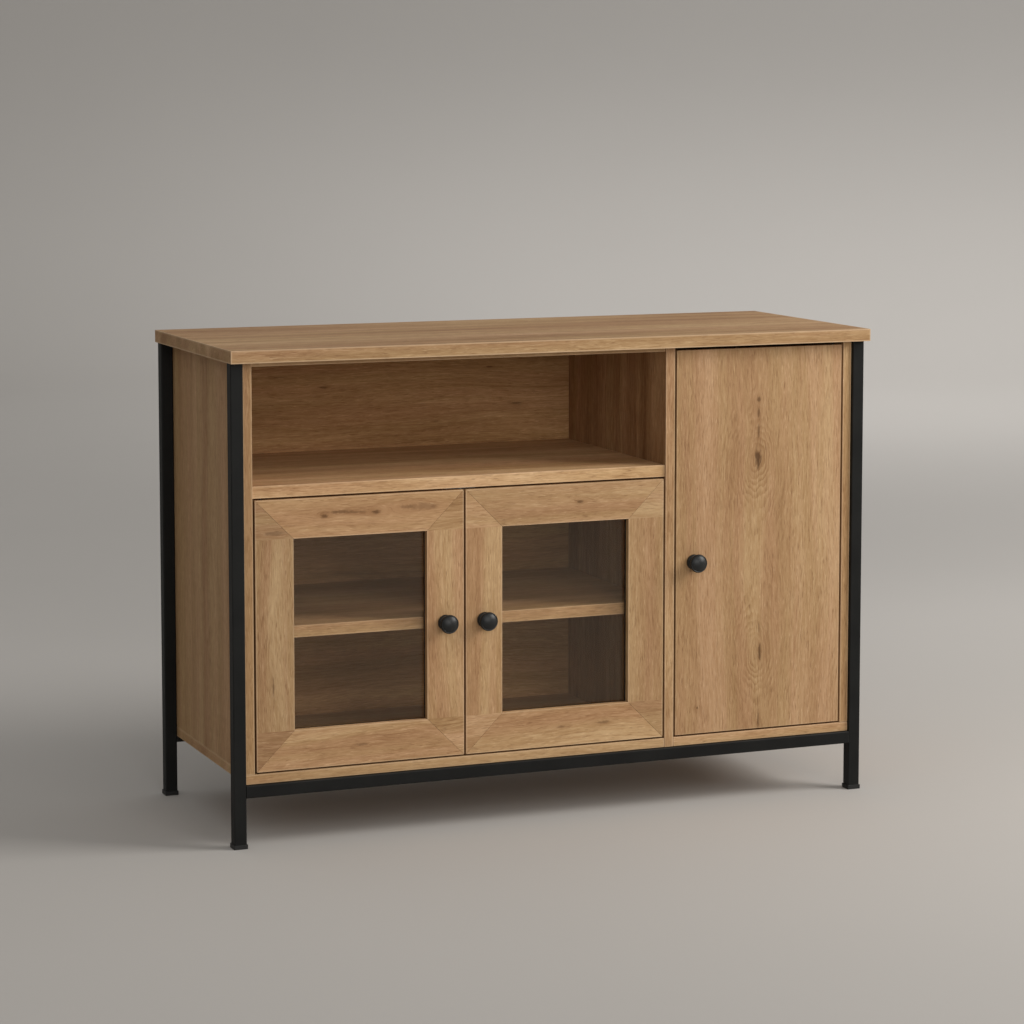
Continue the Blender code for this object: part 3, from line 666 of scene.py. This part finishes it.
def turned(name, profile, steps, finish):
    """A piece turned about its own Z from (radius, height) points, smooth all over."""
    bm = bmesh.new()
    points = [bm.verts.new((radius, 0, height)) for radius, height in profile]
    outline = [bm.edges.new(pair) for pair in zip(points, points[1:])]
    bmesh.ops.spin(bm, geom=points + outline, axis=(0, 0, 1), cent=(0, 0, 0),
                   angle=math.tau, steps=steps, use_merge=True)
    bmesh.ops.remove_doubles(bm, verts=bm.verts, dist=WELD_DISTANCE)
    bmesh.ops.recalc_face_normals(bm, faces=bm.faces)
    mesh = bpy.data.meshes.new(name)
    bm.to_mesh(mesh)
    bm.free()
    shade(mesh)
    mesh.materials.append(finish.material)
    piece = bpy.data.objects.new(name, mesh)
    bpy.context.scene.collection.objects.link(piece)
    return piece


def arc(centre, radius, start, end, count):
    """count + 1 points along an arc, with angles in degrees from the radius axis."""
    points = []
    for i in range(count + 1):
        angle = math.radians(start + (end - start) * i / count)
        points.append((centre[0] + radius * math.cos(angle), centre[1] + radius * math.sin(angle)))
    return points


def knob_profile():
    """The knob's outline from its crown to the middle of its underside."""
    points = []
    for knob_arc in KNOB_ARCS:
        points += arc(*knob_arc)
    return points + [(ROSE_RADIUS, KNOB_FOOT), (0.0, KNOB_FOOT)]


# ---------------------------------------------------------------- the object
def board_knots(name, axes, low, high, crossed):
    """A board's knots, measured along and across its grain from its middle."""
    centre = (low + high) / 2
    places = []
    for x, z, length, width, darkness in KNOTS.get(name, ()):
        offset = {"X": x - centre.x, "Z": z - centre.z, "Y": 0.0}
        along, across = offset[axes[0]], offset[axes[1]]
        if crossed and abs(along) > crossed[1]:
            along, across = across, along
        places.append((along, across, length, width, darkness))
    return places


def between_mitres(name, low, high):
    """The stretch of a stile between its two mitres, measured along it from its middle."""
    pane_low, pane_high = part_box(name.split("_door_")[0] + "_door_glass_pane")
    middle = (low.z + high.z) / 2
    return pane_low.z + PANE_LIP - middle, pane_high.z - PANE_LIP - middle


def board_arris(name):
    if name == "top_panel":
        return TOP_ARRIS
    if name.endswith(("_stile", "door_top_rail", "door_bottom_rail")):
        return FRAME_ARRIS
    return ARRIS


def dress_boards():
    for seed, (name, (axes, tone, figure)) in enumerate(BOARDS.items()):
        low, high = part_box(name)
        hearts = ()
        if name == "tall_door_panel":
            hearts = [height - (low.z + high.z) / 2 for height in HEART_HEIGHTS]
        crossed = between_mitres(name, low, high) if name.endswith("_stile") else None
        knots = board_knots(name, axes, low, high, crossed)
        strengths = (tone, figure, EDGE_WEAR_AND_HIGHLIGHT.get(name, USUAL_EDGE_WEAR_AND_HIGHLIGHT))
        finish = oak(name + "_oak", axes, strengths, seed, low, high, knots, hearts, crossed)
        is_back = name.endswith("_back_panel")
        if is_back:
            fibreboard_back(finish)
        dress(name, finish, board_arris(name))


def dress_steel():
    for name in nodes:
        if name.endswith("_leg") or name in ("front_rail", "rear_rail"):
            dress(name, powder_coat(name + "_coat", *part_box(name)), STEEL_ARRIS)


def dress_small_parts(blackened, zinc):
    looks = {
        "_foot_cap": (moulded("cap_plastic", CAP_COLOUR, 0.55), "black_plastic", PLASTIC_ARRIS),
        "_gasket": (moulded("gasket_rubber", GASKET_COLOUR, 0.65), "black_plastic", GASKET_ARRIS),
        "_catch": (moulded("white_plastic", CATCH_COLOUR, 0.45), "white_plastic", PLASTIC_ARRIS),
        "_glass_pane": (float_glass(), "glass", PANE_ARRIS),
        "_strike_plate": (zinc, "zinc_steel", PLATE_ARRIS),
        "_peg": (zinc, "zinc_steel", None),
        "_screw": (zinc, "zinc_steel", None),
        "_pin": (blackened, "black_steel", None),
    }
    for name in nodes:
        for ending, (finish, slot, arris) in looks.items():
            if name.endswith(ending):
                dress(name, finish, arris)
                if arris is None:
                    shade(nodes[name].data)


def add_knobs():
    """Finely turned knobs in the place of the CAD model's coarse ones."""
    paint = knob_paint()
    for door in ("left_door", "right_door", "tall_door"):
        node = door + "_knob"
        low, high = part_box(node)
        knob = turned(node + "_turned", knob_profile(), KNOB_STEPS, paint)
        place = Vector(((low.x + high.x) / 2, high.y + CAD_KNOB_GAP, (low.z + high.z) / 2))
        knob.matrix_world = Matrix.Translation(place) @ Matrix.Rotation(math.pi / 2, 4, "X")
        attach(knob, door)
        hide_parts(node)


def screw_heads(name, places, turn, finish):
    """Pan heads with a hexagon socket, as one piece that rides on the carcass."""
    profile = [(0.0, SCREW_SOCKET_FLOOR), (SCREW_SOCKET, SCREW_SOCKET_FLOOR)]
    profile.append((SCREW_SOCKET, SCREW_HEAD_HEIGHT))
    profile += arc((SCREW_HEAD - SCREW_ROUND, SCREW_HEAD_HEIGHT - SCREW_ROUND), SCREW_ROUND, 90, 0, 5)
    profile += [(SCREW_HEAD, 0.0), (0.0, 0.0)]
    pattern = turned(name, profile, SCREW_STEPS, finish)
    for vertex in pattern.data.vertices:
        reach = math.hypot(vertex.co.x, vertex.co.y)
        if 0 < reach < SCREW_SOCKET + WELD_DISTANCE:
            sixth = math.pi / 3
            off_corner = math.atan2(vertex.co.y, vertex.co.x) % sixth - sixth / 2
            vertex.co.xy *= math.cos(sixth / 2) / math.cos(off_corner)
    bm = bmesh.new()
    for place in places:
        start = len(bm.verts)
        bm.from_mesh(pattern.data)
        bm.verts.ensure_lookup_table()
        bmesh.ops.transform(bm, matrix=Matrix.Translation(place) @ turn, verts=bm.verts[start:])
    bm.to_mesh(pattern.data)
    bm.free()
    shade(pattern.data)
    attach(pattern, "carcass")


def evenly(start, end, pitch):
    """Places from start to end, both included, at most pitch apart."""
    count = math.ceil((end - start) / pitch)
    return [start + (end - start) * i / count for i in range(count + 1)]


def add_back_screws(finish):
    """Screws round each back panel, into the edges of the boards behind it."""
    divider_low, divider_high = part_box("divider_panel")
    inset = (divider_high.x - divider_low.x) / 4
    places = []
    for side, from_left, from_right in (("left", 2 * inset, inset), ("right", inset, 2 * inset)):
        low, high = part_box(side + "_back_panel")
        columns = evenly(low.x + from_left, high.x - from_right, BACK_SCREW_PITCH)
        rows = evenly(low.z + 2 * inset, high.z - 4 * inset, BACK_SCREW_PITCH)
        for x in columns:
            for z in rows:
                if x in (columns[0], columns[-1]) or z == rows[0]:
                    places.append(Vector((x, high.y + SCREW_LIFT, z)))
    shelf_low, shelf_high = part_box("compartment_shelf")
    for x in evenly(shelf_low.x + BACK_SCREW_PITCH, shelf_high.x - BACK_SCREW_PITCH, BACK_SCREW_PITCH):
        places.append(Vector((x, high.y + SCREW_LIFT, (shelf_low.z + shelf_high.z) / 2)))
    screw_heads("back_panel_screws", places, Matrix.Rotation(-math.pi / 2, 4, "X"), finish)


def add_rail_screws(finish):
    """Screws up through the two rails into the bottom boards."""
    places = []
    for rail in ("front_rail", "rear_rail"):
        low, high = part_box(rail)
        for x in evenly(low.x + RAIL_SCREW_INSET, high.x - RAIL_SCREW_INSET, RAIL_SCREW_PITCH):
            places.append(Vector((x, (low.y + high.y) / 2, low.z - SCREW_LIFT)))
    screw_heads("rail_screws", places, Matrix.Rotation(math.pi, 4, "X"), finish)


# ---------------------------------------------------------------- studio
def cyclorama():
    """A round floor that sweeps up into a wall all round, so that no view shows an edge."""
    profile = [(0.0, 0.0), (1.0, 0.0), (3.0, 0.0)]
    profile += arc((FLOOR_RADIUS, SWEEP_RADIUS), SWEEP_RADIUS, -90, 0, 24)
    profile.append((FLOOR_RADIUS + SWEEP_RADIUS, WALL_TOP))
    finish = Finish("pale_floor_painted_light", **{"Specular IOR Level": 0.20})
    cloud = finish.noise(finish.place(), scale=1.3, detail=4.0)
    fine = finish.noise(finish.place(), scale=260.0)
    x, y, z = finish.split(finish.place())
    # Painted light and shade: the zones' colours grade from front to back, from left to right, and from
    # floor to wall.
    tint = {zone: finish.clouded(cloud, tints) for zone, tints in PAINTED_LIGHT_FLOOR_TINTS.items()}
    far = finish.mix(finish.ease(x, *LEFT_TO_RIGHT), tint["far_left"], tint["far_right"])
    colour = finish.mix(finish.ease(y, *FRONT_TO_MIDDLE), tint["front"], tint["middle"])
    colour = finish.mix(finish.ease(y, *MIDDLE_TO_FAR), colour, far)
    colour = finish.mix(finish.ease(z, *FLOOR_TO_WALL), colour, tint["wall"])
    finish.drive("Base Color", colour)
    finish.drive("Roughness", finish.scaled(fine, factor=0.1, offset=0.75))
    turned("studio_floor", profile, FLOOR_STEPS, finish)


def area_light(name, azimuth, elevation, distance, size, power, colour, target):
    """A lamp that looks at target from distance. Azimuth 0 is in front and 90 to the right."""
    light = bpy.data.lights.new(name, "AREA")
    light.shape = "RECTANGLE"
    light.size, light.size_y = size
    light.energy = power
    light.color = colour
    lamp = bpy.data.objects.new(name, light)
    bpy.context.scene.collection.objects.link(lamp)
    a, e = math.radians(azimuth), math.radians(elevation)
    away = Vector((math.sin(a) * math.cos(e), -math.cos(a) * math.cos(e), math.sin(e)))
    lamp.location = Vector(target) + away * distance
    lamp.rotation_euler = away.to_track_quat("Z", "Y").to_euler()


def studio():
    cyclorama()
    for name, settings in LAMPS.items():
        area_light(name, *settings)
    world = bpy.data.worlds.new("studio_air")
    world.use_nodes = True
    background = world.node_tree.nodes["Background"]
    background.inputs["Color"].default_value = AIR_COLOUR
    background.inputs["Strength"].default_value = AIR_STRENGTH
    bpy.context.scene.world = world
    bpy.context.scene.view_settings.view_transform = "Standard"


def camera():
    lens = bpy.data.cameras.new("camera")
    lens.lens = CAMERA_LENS
    lens.shift_y = CAMERA_SHIFT
    viewer = bpy.data.objects.new("camera", lens)
    bpy.context.scene.collection.objects.link(viewer)
    viewer.location = CAMERA_PLACE
    viewer.rotation_euler = (math.pi / 2 - CAMERA_PITCH, 0, -CAMERA_YAW)
    bpy.context.scene.camera = viewer


camera()
studio()
dress_boards()
dress_steel()
blackened = moulded("blackened_steel", BLACKENED_COLOUR, 0.45)
zinc = zinc_plate()
dress_small_parts(blackened, zinc)
add_knobs()
add_back_screws(zinc)
add_rail_screws(blackened)
